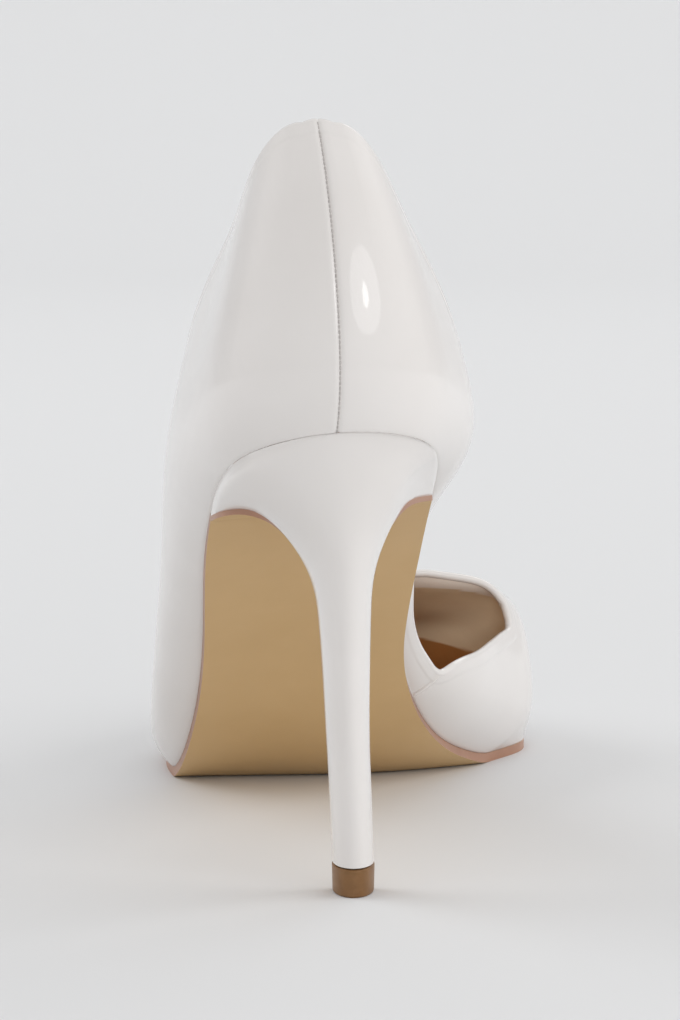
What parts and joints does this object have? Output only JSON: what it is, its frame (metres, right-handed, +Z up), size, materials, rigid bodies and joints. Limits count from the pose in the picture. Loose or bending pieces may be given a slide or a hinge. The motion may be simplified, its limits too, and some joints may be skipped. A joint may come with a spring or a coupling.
{
  "type": "cut-out court shoe",
  "caption": "High-heeled court shoe for the left foot with a closed outer side, an inner side cut away along the arch, a thin sole and a slender covered heel.",
  "frame": {"origin": "on the floor under the middle of the shoe's bounding box", "axes": "+Y from heel to toe, +Z up, +X to the inner side of the left foot, where the upper is cut away"},
  "size_m": [0.0872, 0.2378, 0.1513],
  "materials": {
    "upper": "white patent, high gloss",
    "insole": "smooth brown sock, matt",
    "outsole": "tan, satin, with a red-brown edge",
    "heel": "covered in the white patent of the upper",
    "heel_tip": "brown, satin"
  },
  "bodies": {
    "root": {"upper": "upper", "insole": "insole", "outsole": "outsole", "heel": "heel", "heel_tip": "heel_tip"}
  },
  "joints": []
}
